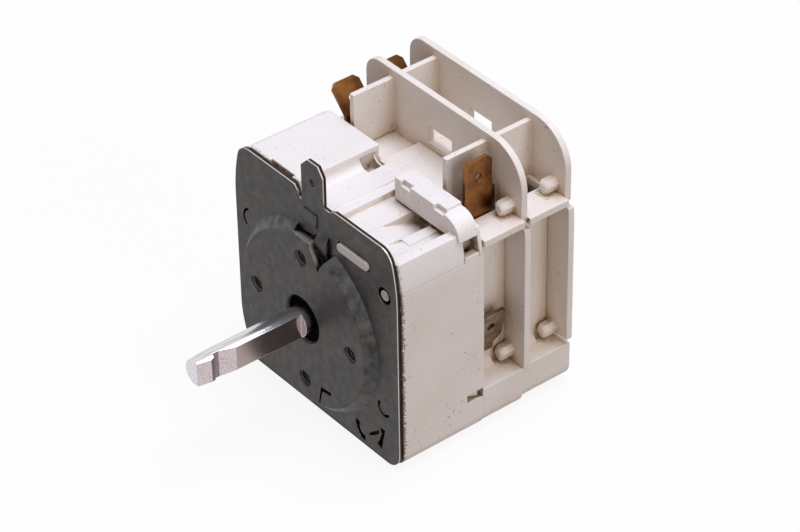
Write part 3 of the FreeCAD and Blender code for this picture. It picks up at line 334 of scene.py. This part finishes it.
def passivated_steel(name):
    material, tree = start_material(name)
    coordinates = add(tree, "ShaderNodeTexCoord", {})
    place = coordinates.outputs["Object"]
    facing = add(tree, "ShaderNodeSeparateXYZ", {"Vector": coordinates.outputs["Normal"]})
    facing = add(tree, "ShaderNodeMath", {0: facing.outputs["Y"]}, operation="ABSOLUTE")
    corner = add(tree, "ShaderNodeAmbientOcclusion", {"Distance": HOLE_REACH}, samples=8).outputs["AO"]
    colour = dull_sheet_with_painted_highlight(tree, place, facing)
    colour = sheared_sheet_with_painted_light(tree, place, facing, corner, colour)
    sheen = add(tree, "ShaderNodeTexNoise", {"Vector": place, "Scale": per_mm(2.5), "Detail": 4.0})
    sheen = add(tree, "ShaderNodeMapRange", {"Value": sheen, "To Min": 0.3, "To Max": 0.5})
    skin = add(tree, "ShaderNodeTexNoise", {"Vector": place, "Scale": per_mm(0.3), "Detail": 3.0})
    end_material(tree, colour, sheen, skin, 0.03, 0.1, Metallic=0.8)
    return material


finishes["plate_steel"] = passivated_steel("passivated_steel_plate")
print("sheet from", SHEET_FRONT / MM, "to", SHEET_BACK / MM, "mm")

# %% [markdown]
# The pins, spades, contacts and motor can are all metals worked along one line, so they share
# a recipe: fine lines along Y, tarnish in clouds, and a sheen that varies. Only their colours
# and how far the tarnish has gone differ.

# %% Worked metals
def worked_metal(name, base, tarnish, tarnish_share, rough_low, rough_high, line_mm):
    material, tree = start_material(name)
    place = add(tree, "ShaderNodeTexCoord", {}).outputs["Object"]
    cloud = add(tree, "ShaderNodeTexNoise", {"Vector": place, "Scale": per_mm(2.2), "Detail": 4.0})
    cloud = add(tree, "ShaderNodeMapRange", {
        "Value": cloud, "From Min": 0.4, "From Max": 0.65, "To Max": tarnish_share})
    # Lines are drawn out along Y to about sixteen times their width.
    along = add(tree, "ShaderNodeVectorMath", {0: place, 1: (1.0, 0.06, 1.0)}, operation="MULTIPLY")
    line = add(tree, "ShaderNodeTexNoise", {"Vector": along, "Scale": per_mm(line_mm), "Detail": 2.0})
    streak = add(tree, "ShaderNodeMapRange", {
        "Value": line, "From Min": 0.5, "From Max": 0.7, "To Max": 0.25})
    worn = add(tree, "ShaderNodeMath", {0: cloud, 1: streak}, operation="MAXIMUM")
    colour = add(tree, "ShaderNodeMix", {
        AMOUNT: worn, FIRST: linear(base), SECOND: linear(tarnish)}, data_type="RGBA")
    sheen = add(tree, "ShaderNodeTexNoise", {"Vector": place, "Scale": per_mm(1.5), "Detail": 3.0})
    sheen = add(tree, "ShaderNodeMapRange", {"Value": sheen, "To Min": rough_low, "To Max": rough_high})
    end_material(tree, colour, sheen, line, 0.01, 0.06, Metallic=1.0)
    return material


# Each row: bare and tarnished colour, share of tarnish, lowest and highest roughness, line in mm.
for slot, values in {
    "brass": ("tarnished_brass_spade", "#8a5c33", "#5e391e", 0.7, 0.2, 0.36, 0.3),
    "tinned_brass": ("tinned_brass_spade", "#8a7762", "#5f4936", 0.8, 0.3, 0.48, 0.3),
    "pin_steel": ("ground_steel_pin", "#a3a2a2", "#6f6c6b", 0.6, 0.3, 0.5, 0.2),
    "motor_steel": ("zinc_plated_motor_can", "#c4c4c0", "#a19f97", 0.4, 0.3, 0.45, 0.35),
    "contact_silver": ("silver_contact", "#dedbd4", "#aaa296", 0.4, 0.25, 0.4, 0.3),
}.items():
    finishes[slot] = worked_metal(*values)
    print(slot, "is", values[0])

# %% [markdown]
# The shaft is die cast zinc, smooth all round, with one flat milled along it. Milling leaves
# the flat browner and duller than the round, and part of that darker brown is a painted
# reflection of the shaded table that the flat mirrors. So the finish asks which way the
# surface points and how far along the shaft it lies. The necked tip is as it was cast, pale
# and pitted, and its neck is painted darker, partly dirt and partly painted shade.

# %% The shaft's flat and its cast tip
FLAT_START = -16.3 * MM
NECK_START = -21.8 * MM
NECK_END = -19.6 * MM
BLEND = 0.1 * MM


def milled_flat_with_painted_reflection(tree, depth, facing, colour):
    # Painted reflection: the flat's darker brown is partly its milled skin and partly the shaded table it
    # mirrors.
    milled_painted_reflection = add(tree, "ShaderNodeMapRange", {"Value": facing, "From Min": 0.985, "From Max": 0.995})
    behind = add(tree, "ShaderNodeMapRange", {
        "Value": depth, "From Min": FLAT_START - BLEND, "From Max": FLAT_START + BLEND})
    milled_painted_reflection = add(tree, "ShaderNodeMath", {0: milled_painted_reflection, 1: behind}, operation="MULTIPLY")
    return add(tree, "ShaderNodeMix", {
        AMOUNT: milled_painted_reflection, FIRST: colour, SECOND: linear("#ab9a96")}, data_type="RGBA")


def rough_cast_with_painted_shade(tree, place, depth):
    # Cast faces are pinkish with 0.2 mm pits. The neck is painted darker: dirt stays there, where
    # nothing rubs it off, and the head's shade falls there too, a painted shade.
    neck_dirt_and_shade = add(tree, "ShaderNodeMapRange", {
        "Value": depth, "From Min": NECK_END + BLEND, "From Max": NECK_END - BLEND, "To Max": 0.75})
    crest = add(tree, "ShaderNodeMapRange", {
        "Value": depth, "From Min": NECK_START - BLEND, "From Max": NECK_START + BLEND})
    neck_dirt_and_shade = add(tree, "ShaderNodeMath", {0: neck_dirt_and_shade, 1: crest}, operation="MULTIPLY")
    pit = add(tree, "ShaderNodeTexNoise", {"Vector": place, "Scale": per_mm(0.22), "Detail": 3.0})
    pitted = add(tree, "ShaderNodeMapRange", {"Value": pit, "From Min": 0.54, "From Max": 0.66})
    colour = add(tree, "ShaderNodeMix", {
        AMOUNT: pitted, FIRST: linear("#d3c5c8"), SECOND: linear("#8e7c7c")}, data_type="RGBA")
    return add(tree, "ShaderNodeMix", {
        AMOUNT: neck_dirt_and_shade, FIRST: colour, SECOND: linear("#6e6060")}, data_type="RGBA")


# %% Die cast zinc
def die_cast_zinc(name):
    material, tree = start_material(name)
    coordinates = add(tree, "ShaderNodeTexCoord", {})
    place = coordinates.outputs["Object"]
    facing = add(tree, "ShaderNodeSeparateXYZ", {"Vector": coordinates.outputs["Normal"]}).outputs["X"]
    depth = add(tree, "ShaderNodeSeparateXYZ", {"Vector": place}).outputs["Y"]
    # Lines 0.25 mm wide run along the shaft.
    along = add(tree, "ShaderNodeVectorMath", {0: place, 1: (1.0, 0.04, 1.0)}, operation="MULTIPLY")
    line = add(tree, "ShaderNodeTexNoise", {"Vector": along, "Scale": per_mm(0.25), "Detail": 3.0})
    streak = add(tree, "ShaderNodeMapRange", {"Value": line, "From Min": 0.42, "From Max": 0.7})
    colour = add(tree, "ShaderNodeMix", {
        AMOUNT: streak, FIRST: linear("#e6e3e8"), SECOND: linear("#b5b0b4")}, data_type="RGBA")
    colour = milled_flat_with_painted_reflection(tree, depth, facing, colour)
    tip = add(tree, "ShaderNodeMapRange", {
        "Value": depth, "From Min": FLAT_START + BLEND, "From Max": FLAT_START - BLEND})
    cast = add(tree, "ShaderNodeMapRange", {"Value": facing, "From Min": 0.8, "From Max": 0.9})
    cast = add(tree, "ShaderNodeMath", {0: tip, 1: cast}, operation="MULTIPLY")
    colour = add(tree, "ShaderNodeMix", {
        AMOUNT: cast, FIRST: colour, SECOND: rough_cast_with_painted_shade(tree, place, depth)}, data_type="RGBA")
    sheen = add(tree, "ShaderNodeMapRange", {"Value": line, "To Min": 0.12, "To Max": 0.26})
    sheen = add(tree, "ShaderNodeMath", {0: sheen, 1: cast}, operation="MAXIMUM")
    sheen = add(tree, "ShaderNodeMath", {0: sheen, 1: 0.45}, operation="MINIMUM")
    end_material(tree, colour, sheen, line, 0.01, 0.05, Metallic=1.0)
    return material


finishes["shaft_metal"] = die_cast_zinc("die_cast_zinc_shaft")
print("neck_dirt_and_shade", round((NECK_END - NECK_START) / MM, 1), "mm long")

# %% [markdown]
# The gears, cams and bush are acetal, a slippery plastic with a waxy sheen. It is moulded
# natural white for moving parts and black where it stands in the centre hole.

# %% Acetal
def moulded_acetal(name, base, shade):
    material, tree = start_material(name)
    place = add(tree, "ShaderNodeTexCoord", {}).outputs["Object"]
    cloud = add(tree, "ShaderNodeTexNoise", {"Vector": place, "Scale": per_mm(4.0), "Detail": 3.0})
    cloud = add(tree, "ShaderNodeMapRange", {"Value": cloud, "From Min": 0.35, "From Max": 0.7})
    colour = add(tree, "ShaderNodeMix", {
        AMOUNT: cloud, FIRST: linear(base), SECOND: linear(shade)}, data_type="RGBA")
    sheen = add(tree, "ShaderNodeTexNoise", {"Vector": place, "Scale": per_mm(1.5), "Detail": 3.0})
    sheen = add(tree, "ShaderNodeMapRange", {"Value": sheen, "To Min": 0.3, "To Max": 0.42})
    grain = add(tree, "ShaderNodeTexNoise", {"Vector": place, "Scale": per_mm(0.4), "Detail": 2.0})
    end_material(tree, colour, sheen, grain, 0.02, 0.08, IOR=1.48)
    return material


finishes["gear_plastic"] = moulded_acetal("natural_acetal", "#e9e7df", "#dcd9ce")
finishes["black_plastic"] = moulded_acetal("black_acetal", "#060606", "#0c0b0b")
print("finishes:", len(finishes))

# %% [markdown]
# The record gives each node a material slot, so every solid, seen or hidden, gets the finish
# of its slot. It could be done node by node, but then a new node could be forgotten.

# %% Finishes on the nodes
slot_of = {part["node"]: part["material_slot"] for part in frame["record"]["subparts"]}
for node, thing in frame["nodes"].items():
    thing.data.materials.clear()
    thing.data.materials.append(finishes[slot_of[node]])
print(len(slot_of), "nodes finished")

# %% [markdown]
# Real mouldings have no knife edges: the tool leaves a small radius, and that radius is what
# catches the light. The solids are sharp, so each visible piece is shown by a copy of its
# own mesh with a real bevel. First come two steps on that copy's mesh: some corners are moved
# to where the photograph has them, and the edges that get a radius are marked.

# %% Corners that move
# The solids have larger snap windows than the real part, and clearance cut under each peg.
# Each line moves the corners that lie at one height, near both sides: range along Y, height,
# new height, and how far out they start on the right side, in mm.
MOVED_CORNERS = {
    "gear_case": (
        (17.5, 21.0, 18.6, 20.2, 22.8),
        (17.9, 21.7, -15.0, -13.3, 22.8),
        (17.9, 21.7, -10.2, -11.5, 22.8)),
    "front_switch_body": (
        (18.3, 20.9, -14.5, -13.1, 22.8),
        (18.3, 20.9, -10.7, -11.7, 22.8),
        (28.0, 31.8, 21.3, 21.95, 19.5)),
    "rear_switch_body": ((38.5, 42.3, 21.3, 21.95, 19.5),),
}
OUTLINE_MIDDLE = 2.0
SAME_HEIGHT = 0.05


def move_corners(work, node):
    moved = 0
    for y_from, y_to, old_height, new_height, x_from in MOVED_CORNERS.get(node, ()):
        for vert in work.verts:
            in_wall = abs(vert.co.x - OUTLINE_MIDDLE * MM) > (x_from - OUTLINE_MIDDLE) * MM
            in_depth = y_from * MM < vert.co.y < y_to * MM
            if in_wall and in_depth and abs(vert.co.z - old_height * MM) < SAME_HEIGHT * MM:
                vert.co.z = new_height * MM
                moved += 1
    return moved


print("corners move on", ", ".join(MOVED_CORNERS))

# %% Edges that get a radius
# Edges that run along Y are mostly the facets of round holes and pins, which must stay round.
FACET_BELOW = math.radians(26)
ALONG_Y = 0.95


def mark_edges(work, crease):
    weight = work.edges.layers.float.new("bevel_weight_edge")
    for edge in work.edges:
        if not edge.is_manifold:
            continue
        along = (edge.verts[0].co - edge.verts[1].co).normalized()
        limit = FACET_BELOW if abs(along.y) > ALONG_Y else math.radians(crease)
        edge[weight] = float(edge.calc_face_angle() > limit)


# %% [markdown]
# The bevel is a modifier that is applied at once, so that the mesh itself has it. Large
# faces then need normals weighted by area, or the shading of the bevels bleeds across them and
# they look like soap.

# %% Rounded copies of the visible pieces
MERGE_WITHIN = 0.002 * MM
FLAT_BELOW = math.radians(0.6)
SHARP_ABOVE = math.radians(35)
RADIUS_STEPS = 3
body_of = {node: body for body, nodes in frame["record"]["behaviour"]["bodies"].items() for node in nodes}


def applied(thing):
    # The mesh as its modifiers leave it, in place of the mesh they started from.
    shown = thing.evaluated_get(bpy.context.evaluated_depsgraph_get())
    thing.data = bpy.data.meshes.new_from_object(shown)
    thing.modifiers.clear()
    return thing.data


def rounded(node, width_mm, crease):
    mesh = frame["nodes"][node].data.copy()
    work = bmesh.new()
    work.from_mesh(mesh)
    bmesh.ops.remove_doubles(work, verts=work.verts, dist=MERGE_WITHIN)
    bmesh.ops.dissolve_limit(work, angle_limit=FLAT_BELOW, verts=work.verts, edges=work.edges)
    moved = move_corners(work, node)
    work.normal_update()
    mark_edges(work, crease)
    work.to_mesh(mesh)
    work.free()
    mesh.shade_smooth()
    copy = bpy.data.objects.new(node + "_rounded", mesh)
    bpy.context.scene.collection.objects.link(copy)
    bevel = copy.modifiers.new("edge_radius", "BEVEL")
    bevel.width = width_mm * MM
    bevel.segments = RADIUS_STEPS
    bevel.limit_method = "WEIGHT"
    bevel.use_clamp_overlap = False
    applied(copy).set_sharp_from_angle(angle=SHARP_ABOVE)
    weighting = copy.modifiers.new("flat_faces", "WEIGHTED_NORMAL")
    weighting.keep_sharp = True
    final = applied(copy)
    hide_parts(node)
    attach(copy, body_of[node])
    print(node, "rounded,", len(final.polygons), "faces,", moved, "corners moved")


# Each node's edge radius in mm, and the angle in degrees from which an edge gets it.
for node, (radius, crease) in {
    "mounting_plate": (0.07, 14), "control_shaft": (0.05, 11), "case_pin": (0.12, 28),
    "gear_case": (0.15, 26), "top_cover": (0.18, 26), "front_switch_body": (0.15, 26),
    "rear_switch_body": (0.15, 26), "back_cover": (0.18, 26),
    "front_left_terminal": (0.06, 26), "rear_left_terminal": (0.06, 26),
    "front_right_upper_terminal": (0.06, 26), "front_right_lower_terminal": (0.06, 26),
    "rear_left_lower_terminal": (0.06, 26),
}.items():
    rounded(node, radius, crease)

# %% [markdown]
# The four screw holes are tapped, and the ridges of the thread catch the light inside them. A
# thread is a helix, so it's swept as one: a three sided section steps round and back.

# %% Tapped threads
THREAD_PITCH = 0.7 * MM
THREAD_TURNS = 2.4
THREAD_START = 0.35 * MM
STEPS_A_TURN = 28
CREST_RADIUS = 1.52 * MM
ROOT_RADIUS = 1.8 * MM
RIDGE_HALF = 0.26 * MM
SCREW_RADIUS = 14.0 * MM


def tapped_thread(name, x, z):
    section = ((CREST_RADIUS, 0.0), (ROOT_RADIUS, -RIDGE_HALF), (ROOT_RADIUS, RIDGE_HALF))
    work = bmesh.new()
    rows = []
    for step in range(int(THREAD_TURNS * STEPS_A_TURN) + 1):
        angle = 2 * math.pi * step / STEPS_A_TURN
        y = THREAD_START + THREAD_PITCH * step / STEPS_A_TURN
        rows.append([work.verts.new((x + r * math.cos(angle), y + dy, z + r * math.sin(angle)))
                     for r, dy in section])
    for first, second in zip(rows, rows[1:]):
        for k in range(3):
            work.faces.new((first[k], first[(k + 1) % 3], second[(k + 1) % 3], second[k]))
    work.faces.new(rows[0])
    work.faces.new(rows[-1])
    bmesh.ops.recalc_face_normals(work, faces=work.faces)
    mesh = bpy.data.meshes.new(name)
    work.to_mesh(mesh)
    work.free()
    mesh.shade_smooth()
    mesh.set_sharp_from_angle(angle=SHARP_ABOVE)
    mesh.materials.append(finishes["plate_steel"])
    thread = bpy.data.objects.new(name, mesh)
    bpy.context.scene.collection.objects.link(thread)
    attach(thread, body_of["mounting_plate"])


for number, (x, z) in enumerate(((1, 0), (0, 1), (-1, 0), (0, -1)), 1):
    tapped_thread("tapped_thread_" + str(number), x * SCREW_RADIUS, z * SCREW_RADIUS)
print("threads:", number)

# %% [markdown]
# The timer stands on a white table that fades into a white backdrop. The table is white for
# the camera and in reflections, and mid grey for scattered light, as the ground under a real
# part is mostly in shade. That keeps the upright faces darker than the tops without making
# the picture grey. A little of the table stays lit for real, so that it keeps a shadow.

# %% Rays that see white
def white_share(tree):
    # Is 1 for what the camera, a reflection or glass sees, and 0 for scattered light.
    rays = add(tree, "ShaderNodeLightPath", {})
    seen = add(tree, "ShaderNodeMath", {
        0: rays.outputs["Is Camera Ray"], 1: rays.outputs["Is Glossy Ray"]}, operation="MAXIMUM")
    return add(tree, "ShaderNodeMath", {
        0: seen, 1: rays.outputs["Is Transmission Ray"]}, operation="MAXIMUM")


# %% Floor
FLOOR_HALF = 1.6
FLOOR_GAP = 0.02 * MM
GLOWING_SHARE = 0.9

floor_mesh = bpy.data.meshes.new("floor")
corners = [(x * FLOOR_HALF, y * FLOOR_HALF, 0) for x, y in ((-1, -1), (1, -1), (1, 1), (-1, 1))]
floor_mesh.from_pydata(corners, [], [(0, 1, 2, 3)])
floor = bpy.data.objects.new("floor", floor_mesh)
floor.location.z = cad_low.z - FLOOR_GAP
bpy.context.scene.collection.objects.link(floor)
paper, tree = start_material("white_paper_floor")
shaded = add(tree, "ShaderNodeBsdfDiffuse", {"Color": (0.33, 0.32, 0.31, 1)})
lit = add(tree, "ShaderNodeBsdfDiffuse", {"Color": (0.95, 0.95, 0.95, 1)})
white = add(tree, "ShaderNodeEmission", {"Color": (1, 1, 1, 1), "Strength": 1.0})
pale = add(tree, "ShaderNodeMixShader", {0: GLOWING_SHARE, 1: lit, 2: white})
surface = add(tree, "ShaderNodeMixShader", {0: white_share(tree), 1: shaded, 2: pale})
add(tree, "ShaderNodeOutputMaterial", {"Surface": surface})
floor_mesh.materials.append(paper)
print("floor at", round(floor.location.z / MM, 2), "mm")

# %% [markdown]
# The room's own light is weak and slightly warm. The backdrop is the same white as the table,
# by the same rule, so that the two meet without a line.

# %% World
world = bpy.data.worlds.new("studio")
bpy.context.scene.world = world
world.use_nodes = True
tree = world.node_tree
tree.nodes.clear()
room = add(tree, "ShaderNodeBackground", {"Color": (1.0, 0.85, 0.72, 1), "Strength": 0.29})
backdrop = add(tree, "ShaderNodeBackground", {"Color": (1, 1, 1, 1), "Strength": 1.0})
sky = add(tree, "ShaderNodeMixShader", {0: white_share(tree), 1: room, 2: backdrop})
add(tree, "ShaderNodeOutputWorld", {"Surface": sky})
bpy.context.scene.view_settings.view_transform = "Standard"
print("room light", room.inputs["Strength"].default_value)

# %% [markdown]
# A soft overhead lamp makes the tops brightest, and a second, weaker one lights the right
# side. No lamp stands in front, so the plate and the fins' faces are lit by the room alone.

# %% Lamps
LAMP_SIZE = 0.5

middle = (cad_low + cad_high) / 2
for name, place, watts, tint in (
    ("overhead_softbox", (0.05, 0.14, 0.78), 4.5, (0.94, 1.0, 1.16)),
    ("right_softbox", (0.75, 0.1, 0.3), 1.75, (1.0, 0.94, 0.92)),
):
    light = bpy.data.lights.new(name, "AREA")
    light.size = LAMP_SIZE
    light.energy = watts
    light.color = tint
    stand = bpy.data.objects.new(name, light)
    stand.location = place
    stand.rotation_mode = "QUATERNION"
    stand.rotation_quaternion = (middle - Vector(place)).to_track_quat("-Z", "Y")
    bpy.context.scene.collection.objects.link(stand)
    print(name, watts, "W")
